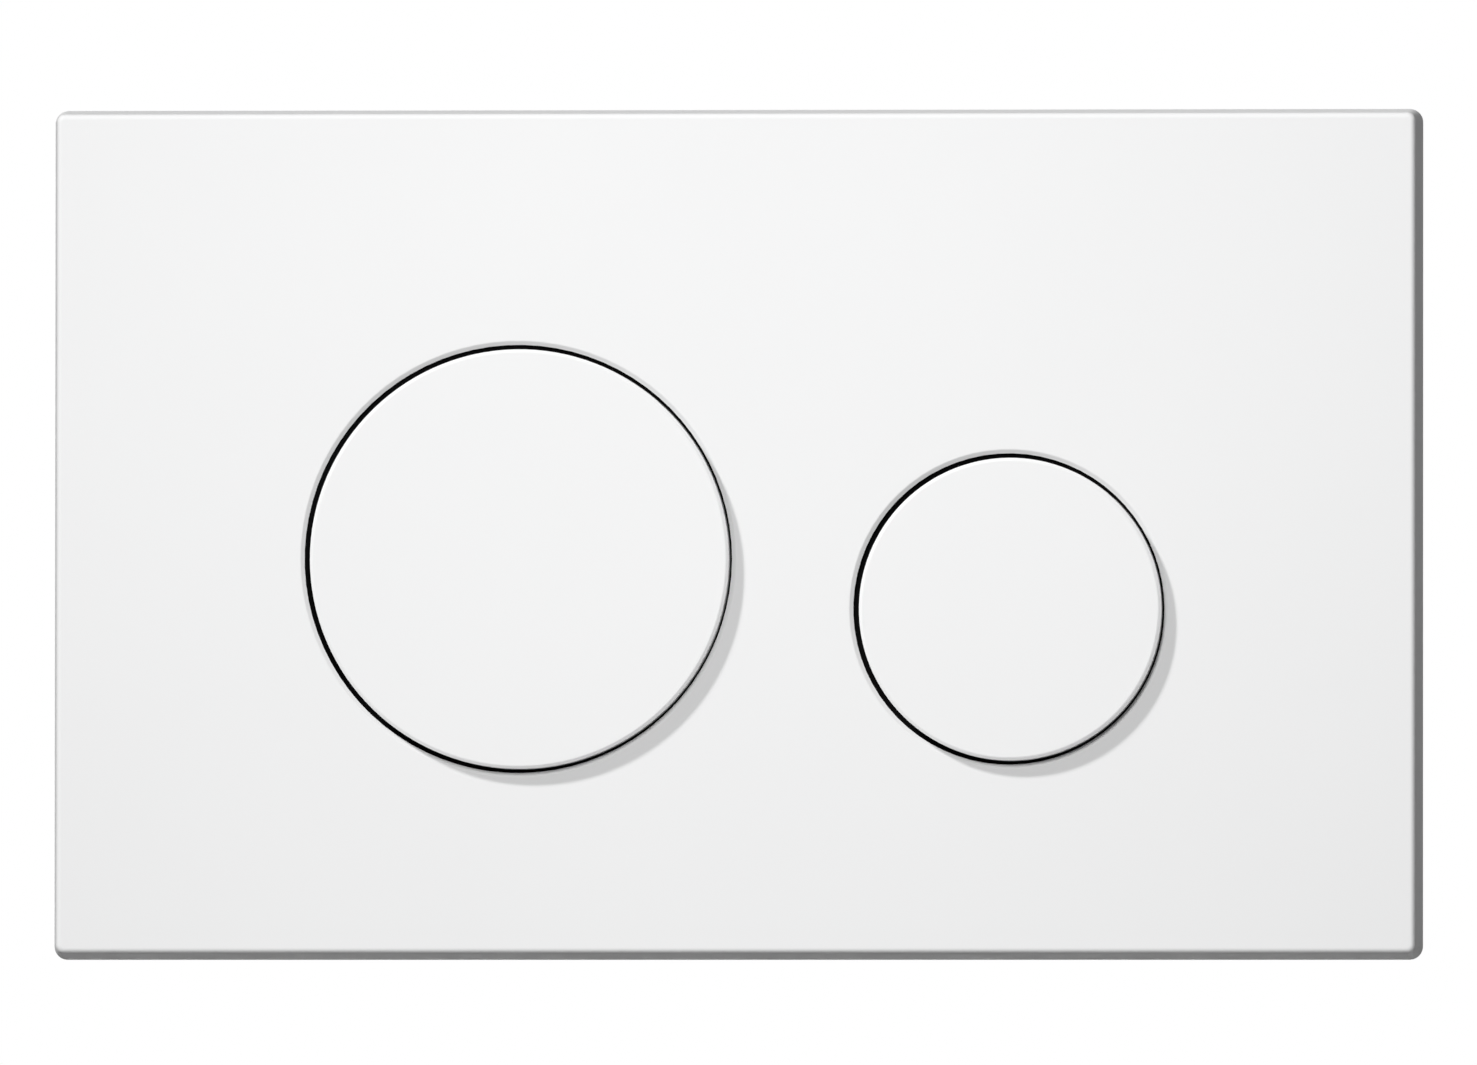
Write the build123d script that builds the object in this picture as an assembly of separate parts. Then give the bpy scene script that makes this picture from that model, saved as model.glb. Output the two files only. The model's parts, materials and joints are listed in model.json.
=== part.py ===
from build123d import *
import os

# Dual-flush button plate for a cistern built into a wall, in millimetres.
# X points right, Z up and Y from the room into the wall. The wall's face is the plane Y = 0.
# The origin is the middle of the plate's rear rim, which rests on that face.

# Cover plate
PLATE_WIDTH = 246.0
PLATE_HEIGHT = 152.6
PLATE_DEPTH = 10.0
PLATE_WALL = 2.5
RIM_WALL = 2.4
SIDE_DRAFT = 6.0
PLATE_CORNER = 2.4
PLATE_INNER_CORNER = 1.6
PLATE_EDGE = 1.0
HOLE_EDGE_WIDTH = 0.72
HOLE_EDGE_DEPTH = 0.43
HOLE_RELIEF = 0.18
HOLE_LEFT = 0.38
HOLE_RISE = 0.1
EDGE_SOFTENING = 0.5
PLATE_RIB_WALL = 1.4
PLATE_RIB_HEIGHT = 3.0
COLLAR_WALL = 1.8
COLLAR_TO_BRIDGE = 3.2

# Buttons
FULL_DIAMETER = 75.2
FULL_X = -38.57
FULL_Z = -4.67
HALF_DIAMETER = 54.2
HALF_X = 49.5
HALF_Z = -13.7
BUTTON_PROUD = 3.0
BUTTON_TRAVEL = 6.0
BUTTON_WALL = 2.4
BUTTON_EDGE_WIDTH = 0.52
BUTTON_EDGE_DEPTH = 0.28
SKIRT_WALL = 2.0
FLANGE_REACH = 2.5
FLANGE_THICKNESS = 2.0
BUFFER_THICKNESS = 1.0
BUFFER_INSET = 0.3
BUTTON_RIB_COUNT = 6
BUTTON_RIB_WALL = 1.4
BUTTON_RIB_HEIGHT = 4.0
STEM_DIAMETER = 12.0
STEM_PAST_BUSH = 4.0

# Bearing bridge, guide bushes and springs
BRIDGE_THICKNESS = 2.4
BRIDGE_MARGIN = 0.5
BRIDGE_CORNER = 6.0
BRIDGE_LIP_HEIGHT = 5.0
BRIDGE_LIP_WALL = 1.8
BRIDGE_LIP_EDGE = 0.5
BRIDGE_SPOKES = 3
BRIDGE_SPOKE_WIDTH = 7.0
BRIDGE_WINDOW_INSET = 4.0
BRIDGE_RIB_WALL = 1.6
BRIDGE_RIB_HEIGHT = 3.0
CUP_DEPTH = 4.2
CUP_WALL = 1.8
CUP_FLOOR = 2.0
SLEEVE_WALL = 1.9
SLEEVE_FORWARD = 8.0
SLEEVE_BACKWARD = 5.6
BUSH_WALL = 1.5
BUSH_FLANGE_REACH = 1.4
BUSH_FLANGE_THICKNESS = 1.0
BUSH_BEAD = 0.5
BUSH_BEAD_LENGTH = 0.8
SPRING_WIRE = 1.2
SPRING_TURNS = 5.0
SPRING_RING_WALL = 1.4
SPRING_RING_HEIGHT = 3.0

# Bridge screws and the plate's bosses for them
SCREW_DIAMETER = 2.9
SCREW_LENGTH = 8.2
SCREW_HEAD_DIAMETER = 5.8
SCREW_HEAD_HEIGHT = 1.9
SCREW_HEAD_EDGE = 0.7
SCREW_TIP = 0.9
PILOT_SPARE = 1.0
BOSS_DIAMETER = 7.2
BOSS_INSET = 6.0

# Push rods and their lock nuts
ROD_DIAMETER = 8.0
ROD_REACH = 80.0
ROD_ENGAGED = 16.0
NOSE_DIAMETER = 6.4
NOSE_LENGTH = 10.0
NOSE_EDGE = 1.5
BORE_SPARE = 1.5
LOCKNUT_ACROSS_FLATS = 13.0
LOCKNUT_THICKNESS = 5.0
LOCKNUT_CHAMFER = 0.6

# Mounting frame
FRAME_SETBACK = 2.0
FRAME_SHEET = 3.0
FRAME_DEPTH = 10.0
FRAME_SIDE = 24.0
FRAME_TOP = 12.0
FRAME_WALL = 2.0
FRAME_EDGE = 0.5
FRAME_CORNER = 6.0
FRAME_WINDOW_CORNER = 8.0
FRAME_RIB_WALL = 1.6
FRAME_RIB_COUNT = 7
SLOT_LENGTH = 16.0
SLOT_PAD_WALL = 2.0
SLOT_PAD_HEIGHT = 2.0

# Fixing studs, knurled clamp nuts and washers
STUD_DIAMETER = 8.0
STUD_REACH = 75.0
STUD_HEIGHT = 30.0
STUD_CHAMFER = 0.8
STUD_RECESS = 1.0
SPIGOT_DIAMETER = 6.0
SPIGOT_LENGTH = 25.0
NUT_DIAMETER = 18.0
NUT_LENGTH = 5.0
NUT_FLUTES = 12
NUT_FLUTE_DIAMETER = 2.4
NUT_EDGE = 0.5
WASHER_THICKNESS = 1.6

# Posts of the plate and the clips that grip them
POST_DIAMETER = 6.0
POST_INSET = 10.0
POST_PAST_CLIP = 3.0
POST_TIP = 1.2
CLIP_THICKNESS = 0.5
CLIP_BAND = 1.6
CLIP_TOOTH_LENGTH = 1.4
CLIP_TOOTH_RISE = 0.7
CLIP_TEETH = 6
CLIP_SLIT = 0.8
SOCKET_FLOOR = 1.5
SOCKET_DEPTH = 1.6
SOCKET_WALL = 2.0

# Clearances
BUTTON_GAP = 0.8
COLLAR_CLEARANCE = 0.6
STOP_CLEARANCE = 0.7
RUNNING_CLEARANCE = 0.08
SEAT_CLEARANCE = 0.05
SPRING_CLEARANCE = 1.2
SPRING_END_CLEARANCE = 0.1
WINDOW_CLEARANCE = 4.0
SLOT_CLEARANCE = 0.3
SOCKET_CLEARANCE = 0.4

# Depths, from the room to the wall
WALL_FACE = 0.0
PLATE_FRONT = WALL_FACE - PLATE_DEPTH
PLATE_BACK = PLATE_FRONT + PLATE_WALL
BUTTON_FRONT = PLATE_FRONT - BUTTON_PROUD
BUTTON_BACK = BUTTON_FRONT + BUTTON_WALL
FLANGE_FRONT = PLATE_BACK + BUFFER_THICKNESS
FLANGE_BACK = FLANGE_FRONT + FLANGE_THICKNESS
BRIDGE_FRONT = FLANGE_BACK + BUTTON_TRAVEL + STOP_CLEARANCE
BRIDGE_BACK = BRIDGE_FRONT + BRIDGE_THICKNESS
COLLAR_BACK = BRIDGE_FRONT - COLLAR_TO_BRIDGE
SPRING_SEAT = BRIDGE_FRONT + CUP_DEPTH
CUP_BACK = SPRING_SEAT + CUP_FLOOR
SLEEVE_FRONT = SPRING_SEAT - SLEEVE_FORWARD
SLEEVE_BACK = CUP_BACK + SLEEVE_BACKWARD
BUSH_FRONT = SLEEVE_FRONT - BUSH_FLANGE_THICKNESS
BUSH_BACK = SLEEVE_BACK + BUSH_BEAD_LENGTH
STEM_BACK = BUSH_BACK + STEM_PAST_BUSH
ROD_FRONT = STEM_BACK - ROD_ENGAGED
FRAME_FRONT = WALL_FACE + FRAME_SETBACK
FRAME_SHEET_BACK = FRAME_FRONT + FRAME_SHEET
FRAME_BACK = FRAME_FRONT + FRAME_DEPTH
WASHER_FRONT = FRAME_FRONT - WASHER_THICKNESS
NUT_FRONT = WASHER_FRONT - NUT_LENGTH
CLIP_SEAT = FRAME_SHEET_BACK + SOCKET_FLOOR
SOCKET_BACK = CLIP_SEAT + SOCKET_DEPTH
POST_BACK = CLIP_SEAT + CLIP_THICKNESS + CLIP_TOOTH_RISE + POST_PAST_CLIP

# Radii about a button's axis, from the rod outwards
ROD_RADIUS = ROD_DIAMETER / 2
STEM_RADIUS = STEM_DIAMETER / 2
BUSH_BORE = STEM_RADIUS + RUNNING_CLEARANCE
BUSH_RADIUS = BUSH_BORE + BUSH_WALL
SLEEVE_BORE = BUSH_RADIUS + SEAT_CLEARANCE
SLEEVE_RADIUS = SLEEVE_BORE + SLEEVE_WALL
SPRING_RADIUS = SLEEVE_RADIUS + SPRING_CLEARANCE + SPRING_WIRE / 2
SPRING_OUTSIDE = SPRING_RADIUS + SPRING_WIRE / 2
CUP_RADIUS = SPRING_OUTSIDE + SPRING_CLEARANCE
CUP_OUTSIDE = CUP_RADIUS + CUP_WALL
SPRING_RING_BORE = SPRING_OUTSIDE + SPRING_CLEARANCE / 2
SPRING_RING_RADIUS = SPRING_RING_BORE + SPRING_RING_WALL

# The two buttons, each a name, a diameter and the place of its axis
BUTTONS = [
    ("full", FULL_DIAMETER, (FULL_X, FULL_Z)),
    ("half", HALF_DIAMETER, (HALF_X, HALF_Z)),
]


def collar_radius(diameter):
    """Outer radius of the plate's collar round a button's flange."""
    return diameter / 2 + FLANGE_REACH + COLLAR_CLEARANCE + COLLAR_WALL


# Half sizes of the bridge, the frame's window and the frame, worked out from the collars
BRIDGE_X = max(abs(x) + collar_radius(d) for _, d, (x, z) in BUTTONS) + BRIDGE_MARGIN
BRIDGE_Z = max(abs(z) + collar_radius(d) for _, d, (x, z) in BUTTONS) + BRIDGE_MARGIN
WINDOW_X = BRIDGE_X + WINDOW_CLEARANCE
WINDOW_Z = BRIDGE_Z + WINDOW_CLEARANCE
FRAME_X = WINDOW_X + FRAME_SIDE
FRAME_Z = WINDOW_Z + FRAME_TOP

# Places of the fastenings
BETWEEN_BUTTONS = (
    FULL_X + collar_radius(FULL_DIAMETER) + HALF_X - collar_radius(HALF_DIAMETER)
) / 2
BOSS_X = BRIDGE_X - BOSS_INSET
BOSS_Z = BRIDGE_Z - BOSS_INSET
BOSSES = [(x, z) for x in (-BOSS_X, BETWEEN_BUTTONS, BOSS_X) for z in (-BOSS_Z, BOSS_Z)]
STUD_X = WINDOW_X + FRAME_SIDE / 2
STUDS = [(-STUD_X, STUD_HEIGHT), (STUD_X, STUD_HEIGHT)]
POST_Z = FRAME_Z - POST_INSET
POSTS = [(x, z) for x in (-STUD_X, STUD_X) for z in (-POST_Z, POST_Z)]


def plane_at(depth):
    """The plane Y = depth, drawn with X right and Z up. Its normal points to the room."""
    return Plane(origin=(0, depth, 0), x_dir=(1, 0, 0), z_dir=(0, -1, 0))


def block(outline, front, back):
    """A straight prism of an outline between two depths."""
    return extrude(plane_at(back) * outline, amount=back - front)


def ring(outer, inner):
    """A flat ring between two radii."""
    return Circle(outer) - Circle(inner)


def at(centre, piece):
    """A piece made about the Y axis, moved to a centre given as (x, z)."""
    return Pos(centre[0], 0, centre[1]) * piece


def turned(points):
    """A piece turned about the Y axis from (radius, depth) points."""
    return revolve(make_face(Polyline(*points, close=True)), axis=Axis.Y)


def circles_at(piece, radius, depth):
    """The circular edges of one radius at one depth."""
    near = 1e-4
    return [
        edge
        for edge in piece.edges().filter_by(GeomType.CIRCLE)
        if abs(edge.radius - radius) < near and abs(edge.arc_center.Y - depth) < near
    ]


def rear_edges(piece):
    """The edges of a piece's rearmost face."""
    return piece.faces().sort_by(Axis.Y)[-1].edges()


def cover_plate():
    """Drafted shell with a rounded front, button holes, and collars, ribs, bosses and posts behind.
    The holes have sloped edges and widen to the back. They lie a little to the left of the
    buttons' axes and above them, so their gaps are wider there."""
    outline = RectangleRounded(PLATE_WIDTH, PLATE_HEIGHT, PLATE_CORNER)
    inside = RectangleRounded(
        PLATE_WIDTH - 2 * RIM_WALL, PLATE_HEIGHT - 2 * RIM_WALL, PLATE_INNER_CORNER
    )
    wall = plane_at(WALL_FACE)
    shell = extrude(wall * outline, amount=PLATE_DEPTH, taper=SIDE_DRAFT)
    shell = fillet(shell.faces().sort_by(Axis.Y)[0].edges(), PLATE_EDGE)
    hollow = extrude(wall * inside, amount=PLATE_DEPTH - PLATE_WALL, taper=SIDE_DRAFT)
    shell -= hollow

    rib_back = PLATE_BACK + PLATE_RIB_HEIGHT
    rib_x = BRIDGE_X + FLANGE_REACH
    ribs = [Pos(0, z) * Rectangle(PLATE_WIDTH, PLATE_RIB_WALL) for z in (-POST_Z, POST_Z)]
    ribs += [Pos(x, 0) * Rectangle(PLATE_RIB_WALL, PLATE_HEIGHT) for x in (-rib_x, rib_x)]
    for _, diameter, (x, z) in BUTTONS:
        top = (z + POST_Z) / 2
        ribs.append(Pos(x, top) * Rectangle(PLATE_RIB_WALL, POST_Z - z))
    shell += [block(rib, PLATE_BACK, rib_back) & hollow for rib in ribs]
    shell += [
        block(Pos(x, z) * Circle(collar_radius(diameter)), PLATE_BACK, COLLAR_BACK)
        for _, diameter, (x, z) in BUTTONS
    ]
    boss = block(Circle(BOSS_DIAMETER / 2), PLATE_BACK, BRIDGE_FRONT)
    post_radius = POST_DIAMETER / 2
    post = turned(
        [
            (0, PLATE_BACK),
            (post_radius, PLATE_BACK),
            (post_radius, POST_BACK - POST_TIP),
            (post_radius - POST_TIP / 2, POST_BACK),
            (0, POST_BACK),
        ]
    )
    shell += [at(place, boss) for place in BOSSES]
    shell += [at(place, post) for place in POSTS]

    pilot = block(
        Circle(SCREW_DIAMETER / 2 + SEAT_CLEARANCE),
        BRIDGE_BACK - SCREW_LENGTH - PILOT_SPARE,
        BRIDGE_FRONT,
    )
    shell -= [at(place, pilot) for place in BOSSES]
    for _, diameter, (x, z) in BUTTONS:
        hole = diameter / 2 + BUTTON_GAP
        opening = turned(
            [
                (0, PLATE_FRONT),
                (hole + HOLE_EDGE_WIDTH, PLATE_FRONT),
                (hole, PLATE_FRONT + HOLE_EDGE_DEPTH),
                (hole + HOLE_RELIEF, PLATE_BACK),
                (0, PLATE_BACK),
            ]
        )
        shell -= at((x - HOLE_LEFT, z + HOLE_RISE), opening)
        shell -= block(
            Pos(x, z) * Circle(collar_radius(diameter) - COLLAR_WALL), PLATE_BACK, COLLAR_BACK
        )
        shell = fillet(circles_at(shell, hole + HOLE_EDGE_WIDTH, PLATE_FRONT), EDGE_SOFTENING)
    return shell


def flush_button(diameter):
    """Cap with a sloped edge, skirt, retaining flange, bored stem, spring ring and radial ribs."""
    radius = diameter / 2
    face = radius - BUTTON_EDGE_WIDTH
    skirt = radius - SKIRT_WALL
    bore = ROD_RADIUS + SEAT_CLEARANCE
    bore_end = ROD_FRONT - BORE_SPARE
    button = turned(
        [
            (0, BUTTON_FRONT),
            (face, BUTTON_FRONT),
            (radius, BUTTON_FRONT + BUTTON_EDGE_DEPTH),
            (radius, FLANGE_FRONT),
            (radius + FLANGE_REACH, FLANGE_FRONT),
            (radius + FLANGE_REACH, FLANGE_BACK),
            (skirt, FLANGE_BACK),
            (skirt, BUTTON_BACK),
            (STEM_RADIUS, BUTTON_BACK),
            (STEM_RADIUS, STEM_BACK),
            (bore, STEM_BACK),
            (bore, bore_end),
            (0, bore_end),
        ]
    )
    button = fillet(circles_at(button, face, BUTTON_FRONT), EDGE_SOFTENING)
    button += block(
        ring(SPRING_RING_RADIUS, SPRING_RING_BORE), BUTTON_BACK, BUTTON_BACK + SPRING_RING_HEIGHT
    )
    middle = (SPRING_RING_BORE + SPRING_RING_RADIUS) / 2
    length = radius - SKIRT_WALL / 2 - middle
    rib = block(
        Pos(middle + length / 2, 0) * Rectangle(length, BUTTON_RIB_WALL),
        BUTTON_BACK,
        BUTTON_BACK + BUTTON_RIB_HEIGHT,
    )
    step = 360 / BUTTON_RIB_COUNT
    button += [Rot(0, step * index, 0) * rib for index in range(BUTTON_RIB_COUNT)]
    return button


def button_buffer(diameter):
    """Rubber ring on the front of a button's flange, which meets the back of the plate."""
    inner = diameter / 2 + SEAT_CLEARANCE
    outer = diameter / 2 + FLANGE_REACH - BUFFER_INSET
    return block(ring(outer, inner), PLATE_BACK, FLANGE_FRONT)


def bearing_bridge():
    """Lipped carrier with a spring cup and a guide sleeve behind each button, on ribbed spokes."""
    outline = RectangleRounded(2 * BRIDGE_X, 2 * BRIDGE_Z, BRIDGE_CORNER)
    inside = RectangleRounded(
        2 * (BRIDGE_X - BRIDGE_LIP_WALL),
        2 * (BRIDGE_Z - BRIDGE_LIP_WALL),
        BRIDGE_CORNER - BRIDGE_LIP_WALL,
    )
    lip_back = BRIDGE_BACK + BRIDGE_LIP_HEIGHT
    bridge = block(outline, BRIDGE_FRONT, BRIDGE_BACK)
    lip = block(outline - inside, BRIDGE_BACK, lip_back)
    bridge += fillet(rear_edges(lip), BRIDGE_LIP_EDGE)
    cup = turned(
        [
            (SLEEVE_BORE, SLEEVE_FRONT),
            (SLEEVE_RADIUS, SLEEVE_FRONT),
            (SLEEVE_RADIUS, SPRING_SEAT),
            (CUP_RADIUS, SPRING_SEAT),
            (CUP_RADIUS, BRIDGE_FRONT),
            (CUP_OUTSIDE, BRIDGE_FRONT),
            (CUP_OUTSIDE, CUP_BACK),
            (SLEEVE_RADIUS, CUP_BACK),
            (SLEEVE_RADIUS, SLEEVE_BACK),
            (SLEEVE_BORE, SLEEVE_BACK),
        ]
    )
    rib_back = BRIDGE_BACK + BRIDGE_RIB_HEIGHT
    step = 360 / BRIDGE_SPOKES
    ribs = Sketch()
    for _, diameter, (x, z) in BUTTONS:
        ribs += Pos(x, 0) * Rectangle(BRIDGE_RIB_WALL, 2 * BRIDGE_Z)
        ribs += Pos(0, z) * Rectangle(2 * BRIDGE_X, BRIDGE_RIB_WALL)
        ribs += Pos(x, z) * Circle(diameter / 2 - BRIDGE_WINDOW_INSET + BRIDGE_RIB_WALL)
    for _, diameter, (x, z) in BUTTONS:
        ribs -= Pos(x, z) * Circle(diameter / 2 - BRIDGE_WINDOW_INSET)
    bridge += block(ribs & inside, BRIDGE_BACK, rib_back)
    for _, diameter, (x, z) in BUTTONS:
        reach = diameter / 2 - BRIDGE_WINDOW_INSET
        spoke = Pos(0, reach / 2) * Rectangle(BRIDGE_SPOKE_WIDTH, reach)
        windows = ring(reach, CUP_OUTSIDE + CUP_WALL)
        rib_length = reach + BRIDGE_RIB_WALL - CUP_RADIUS
        rib = block(
            Pos(0, CUP_RADIUS + rib_length / 2) * Rectangle(BRIDGE_RIB_WALL, rib_length),
            BRIDGE_BACK,
            rib_back,
        )
        for index in range(BRIDGE_SPOKES):
            windows -= Rot(0, 0, step * index) * spoke
        bridge -= block(Pos(x, z) * windows, BRIDGE_FRONT, BRIDGE_BACK)
        bridge += [at((x, z), Rot(0, step * index, 0) * rib) for index in range(BRIDGE_SPOKES)]
        bridge -= block(Pos(x, z) * Circle(CUP_RADIUS), BRIDGE_FRONT, CUP_BACK)
        bridge += at((x, z), cup)
    hole = block(Circle(SCREW_DIAMETER / 2 + SLOT_CLEARANCE), BRIDGE_FRONT, BRIDGE_BACK)
    bridge -= [at(place, hole) for place in BOSSES]
    return bridge


def bridge_screw():
    """Pan-headed self-tapping screw, its head on the back of the bridge."""
    radius = SCREW_DIAMETER / 2
    head = SCREW_HEAD_DIAMETER / 2
    tip = BRIDGE_BACK - SCREW_LENGTH
    screw = turned(
        [
            (0, tip),
            (radius - SCREW_TIP, tip),
            (radius, tip + SCREW_TIP),
            (radius, BRIDGE_BACK),
            (head, BRIDGE_BACK),
            (head, BRIDGE_BACK + SCREW_HEAD_HEIGHT),
            (0, BRIDGE_BACK + SCREW_HEAD_HEIGHT),
        ]
    )
    return fillet(circles_at(screw, head, BRIDGE_BACK + SCREW_HEAD_HEIGHT), SCREW_HEAD_EDGE)


def guide_bush():
    """Bush with a front flange and a rear bead that hold it in the bridge's sleeve."""
    return turned(
        [
            (BUSH_BORE, BUSH_FRONT),
            (BUSH_RADIUS + BUSH_FLANGE_REACH, BUSH_FRONT),
            (BUSH_RADIUS + BUSH_FLANGE_REACH, SLEEVE_FRONT),
            (BUSH_RADIUS, SLEEVE_FRONT),
            (BUSH_RADIUS, SLEEVE_BACK),
            (BUSH_RADIUS + BUSH_BEAD, SLEEVE_BACK),
            (BUSH_RADIUS, BUSH_BACK),
            (BUSH_BORE, BUSH_BACK),
        ]
    )


def return_spring():
    """Coil spring with ground ends, between a button's back and the floor of its cup."""
    front = BUTTON_BACK + SPRING_END_CLEARANCE
    back = SPRING_SEAT - SPRING_END_CLEARANCE
    length = back - front
    coil = Helix(
        length / SPRING_TURNS, length, SPRING_RADIUS, center=(0, front, 0), direction=(0, 1, 0)
    )
    section = Plane(origin=coil @ 0, z_dir=coil % 0) * Circle(SPRING_WIRE / 2)
    wire = sweep(section, path=coil, is_frenet=True)
    return wire & block(Circle(CUP_RADIUS), front, back)


def push_rod():
    """Rod screwed into a button's stem, with a rounded nose that pushes the flush valve's lever."""
    nose = NOSE_DIAMETER / 2
    shoulder = ROD_REACH - NOSE_LENGTH
    rod = turned(
        [
            (0, ROD_FRONT),
            (ROD_RADIUS, ROD_FRONT),
            (ROD_RADIUS, shoulder),
            (nose, shoulder),
            (nose, ROD_REACH),
            (0, ROD_REACH),
        ]
    )
    return fillet(circles_at(rod, nose, ROD_REACH), NOSE_EDGE)


def rod_locknut():
    """Hexagon nut on the rod, tight against the end of the stem."""
    back = STEM_BACK + LOCKNUT_THICKNESS
    hexagon = RegularPolygon(LOCKNUT_ACROSS_FLATS / 2, 6, major_radius=False)
    corner = LOCKNUT_ACROSS_FLATS / 2 + LOCKNUT_CHAMFER
    turned_form = turned(
        [
            (ROD_RADIUS + SEAT_CLEARANCE, STEM_BACK),
            (corner, STEM_BACK),
            (corner + LOCKNUT_CHAMFER, STEM_BACK + LOCKNUT_CHAMFER),
            (corner + LOCKNUT_CHAMFER, back - LOCKNUT_CHAMFER),
            (corner, back),
            (ROD_RADIUS + SEAT_CLEARANCE, back),
        ]
    )
    return turned_form & block(hexagon, STEM_BACK, back)


def mounting_frame():
    """Open channel frame with ribs, stud slots at its sides and clip sockets at its corners."""
    outline = RectangleRounded(2 * FRAME_X, 2 * FRAME_Z, FRAME_CORNER)
    inside = RectangleRounded(
        2 * (FRAME_X - FRAME_WALL), 2 * (FRAME_Z - FRAME_WALL), FRAME_CORNER - FRAME_WALL
    )
    window = RectangleRounded(2 * WINDOW_X, 2 * WINDOW_Z, FRAME_WINDOW_CORNER)
    lip = RectangleRounded(
        2 * (WINDOW_X + FRAME_WALL), 2 * (WINDOW_Z + FRAME_WALL), FRAME_WINDOW_CORNER + FRAME_WALL
    )
    frame = block(outline - window, FRAME_FRONT, FRAME_SHEET_BACK)
    for wall in (outline - inside, lip - window):
        upright = block(wall, FRAME_SHEET_BACK, FRAME_BACK)
        frame += fillet(rear_edges(upright), FRAME_EDGE)

    channel = inside - lip
    pitch = 2 * WINDOW_X / (FRAME_RIB_COUNT - 1)
    rib_places = [pitch * index - WINDOW_X for index in range(FRAME_RIB_COUNT)]
    ribs = [Pos(x, 0) * Rectangle(FRAME_RIB_WALL, 2 * FRAME_Z) for x in rib_places]
    ribs += [Rectangle(2 * FRAME_X, FRAME_RIB_WALL)]
    frame += [block(rib & channel, FRAME_SHEET_BACK, FRAME_BACK - FRAME_WALL) for rib in ribs]

    slot_width = STUD_DIAMETER + 2 * SLOT_CLEARANCE
    pad = SlotOverall(SLOT_LENGTH + 2 * SLOT_PAD_WALL, slot_width + 2 * SLOT_PAD_WALL)
    slot = SlotOverall(SLOT_LENGTH, slot_width)
    pad_back = FRAME_SHEET_BACK + SLOT_PAD_HEIGHT
    frame += [block(Pos(*place) * pad, FRAME_SHEET_BACK, pad_back) for place in STUDS]
    frame -= [block(Pos(*place) * slot, FRAME_FRONT, pad_back) for place in STUDS]

    post_radius = POST_DIAMETER / 2
    recess = post_radius + SEAT_CLEARANCE + CLIP_TOOTH_LENGTH + CLIP_BAND + SEAT_CLEARANCE
    socket = block(Circle(recess + SOCKET_WALL), FRAME_SHEET_BACK, SOCKET_BACK)
    frame += [at(place, socket) for place in POSTS]
    bore = block(Circle(post_radius + SOCKET_CLEARANCE), FRAME_FRONT, CLIP_SEAT)
    seat = block(Circle(recess), CLIP_SEAT, SOCKET_BACK)
    frame -= [at(place, bore) for place in POSTS]
    frame -= [at(place, seat) for place in POSTS]
    return frame


def retaining_clip():
    """Spring-steel ring with dished inner teeth that bite on a post of the plate."""
    inner = POST_DIAMETER / 2 + SEAT_CLEARANCE
    root = inner + CLIP_TOOTH_LENGTH
    outer = root + CLIP_BAND
    back = CLIP_SEAT + CLIP_THICKNESS
    clip = turned(
        [
            (inner, CLIP_SEAT + CLIP_TOOTH_RISE),
            (root, CLIP_SEAT),
            (outer, CLIP_SEAT),
            (outer, back),
            (root, back),
            (inner, back + CLIP_TOOTH_RISE),
        ]
    )
    slit = block(
        Pos(root / 2, 0) * Rectangle(root, CLIP_SLIT), CLIP_SEAT, back + CLIP_TOOTH_RISE
    )
    step = 360 / CLIP_TEETH
    return clip - [Rot(0, step * index, 0) * slit for index in range(CLIP_TEETH)]


def fixing_stud():
    """Stepped stud: a barrel that takes the clamp nut and a spigot for the cistern's housing."""
    radius = STUD_DIAMETER / 2
    spigot = SPIGOT_DIAMETER / 2
    front = NUT_FRONT + STUD_RECESS
    shoulder = STUD_REACH - SPIGOT_LENGTH
    return turned(
        [
            (0, front),
            (radius - STUD_CHAMFER, front),
            (radius, front + STUD_CHAMFER),
            (radius, shoulder),
            (spigot, shoulder),
            (spigot, STUD_REACH - STUD_CHAMFER),
            (spigot - STUD_CHAMFER, STUD_REACH),
            (0, STUD_REACH),
        ]
    )


def clamp_nut():
    """Round nut with a fluted grip, turned by hand against its washer."""
    radius = NUT_DIAMETER / 2
    nut = block(Circle(radius), NUT_FRONT, WASHER_FRONT)
    nut = fillet(circles_at(nut, radius, NUT_FRONT), NUT_EDGE)
    flute = block(Pos(radius, 0) * Circle(NUT_FLUTE_DIAMETER / 2), NUT_FRONT, WASHER_FRONT)
    step = 360 / NUT_FLUTES
    nut -= [Rot(0, step * index, 0) * flute for index in range(NUT_FLUTES)]
    return nut - block(Circle(STUD_DIAMETER / 2 + SEAT_CLEARANCE), NUT_FRONT, WASHER_FRONT)


def clamp_washer():
    """Flat washer between the clamp nut and the frame."""
    bore = STUD_DIAMETER / 2 + SLOT_CLEARANCE
    return block(ring(NUT_DIAMETER / 2, bore), WASHER_FRONT, FRAME_FRONT)


def group(places, piece):
    """Copies of one piece at several places, kept as separate solids."""
    return Compound(children=[at(place, piece).solid() for place in places])


pieces = {
    "cover_plate": cover_plate(),
    "bearing_bridge": bearing_bridge(),
    "bridge_screws": group(BOSSES, bridge_screw()),
    "mounting_frame": mounting_frame(),
    "retaining_clips": group(POSTS, retaining_clip()),
    "fixing_studs": group(STUDS, fixing_stud()),
    "clamp_nuts": group(STUDS, clamp_nut()),
    "clamp_washers": group(STUDS, clamp_washer()),
}
for name, diameter, centre in BUTTONS:
    pieces[f"{name}_flush_button"] = at(centre, flush_button(diameter))
    pieces[f"{name}_button_buffer"] = at(centre, button_buffer(diameter))
    pieces[f"{name}_guide_bush"] = at(centre, guide_bush())
    pieces[f"{name}_return_spring"] = at(centre, return_spring())
    pieces[f"{name}_push_rod"] = at(centre, push_rod())
    pieces[f"{name}_rod_locknut"] = at(centre, rod_locknut())

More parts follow.
